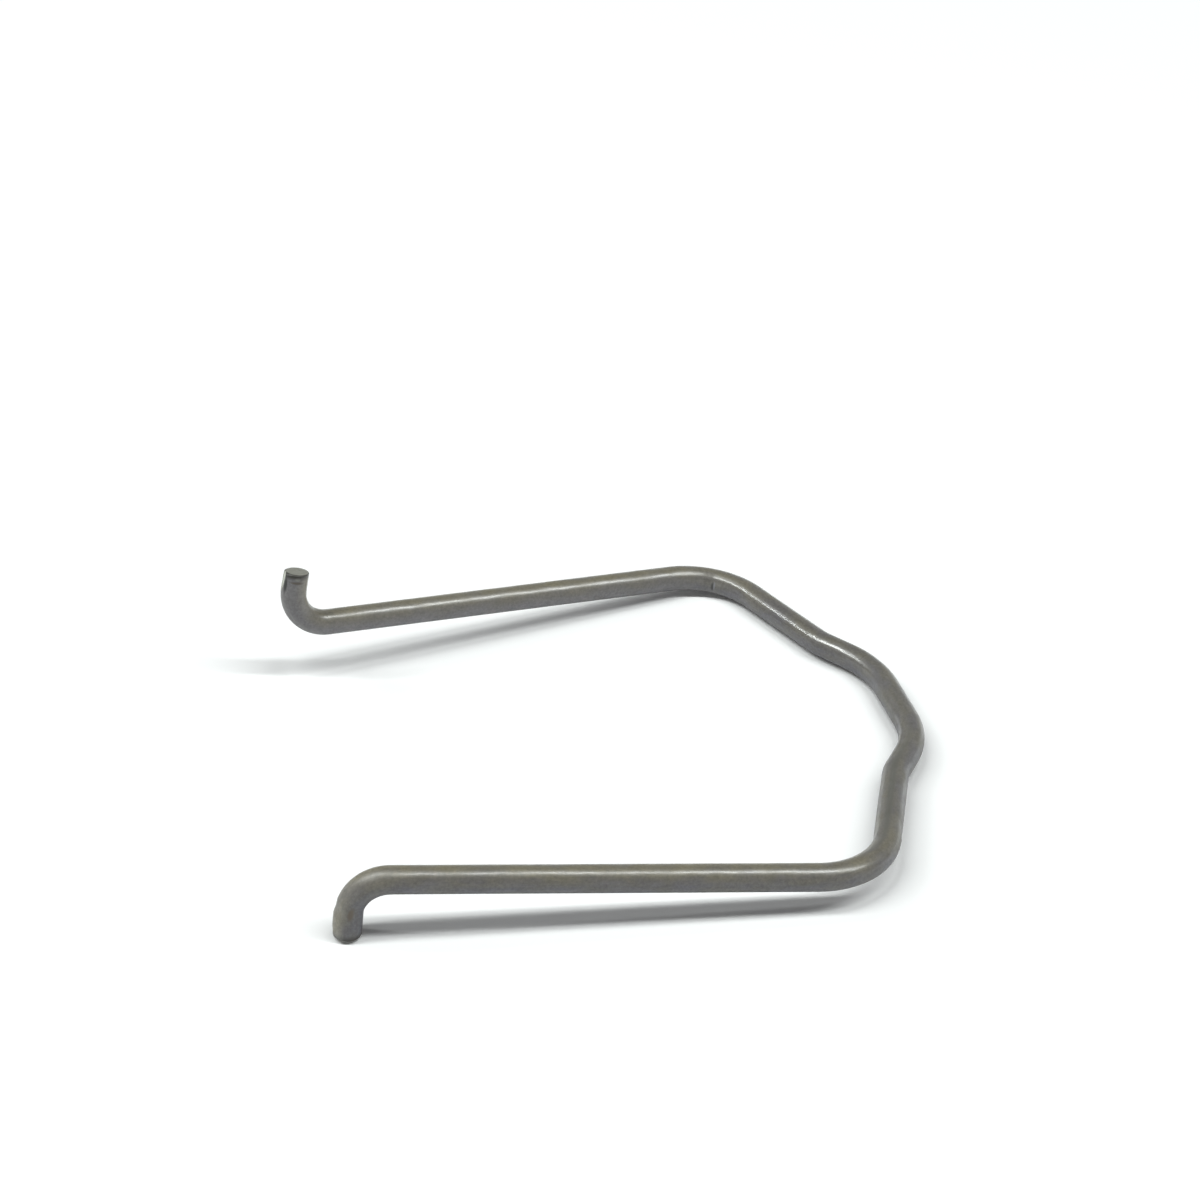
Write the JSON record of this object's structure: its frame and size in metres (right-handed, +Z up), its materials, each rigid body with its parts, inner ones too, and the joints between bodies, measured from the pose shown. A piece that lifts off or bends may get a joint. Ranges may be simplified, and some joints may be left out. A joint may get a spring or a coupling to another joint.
{
  "type": "hose retaining clip",
  "caption": "U-shaped bent spring-wire clip with a stepped nose and opposed hooked ends, which holds a hose coupling on its neck.",
  "frame": {"origin": "middle of the clip's footprint, on the surface that it lies on", "axes": "+X along the clip from its open end towards the nose at its closed end, +Y across it towards the leg whose hook stands up, +Z up from the surface"},
  "size_m": [0.0704, 0.064, 0.0142],
  "materials": {
    "spring_wire": "drawn, dull grey, faint olive tinge along the upper edge"
  },
  "bodies": {
    "root": {"wire_clip": "spring_wire"}
  },
  "joints": []
}
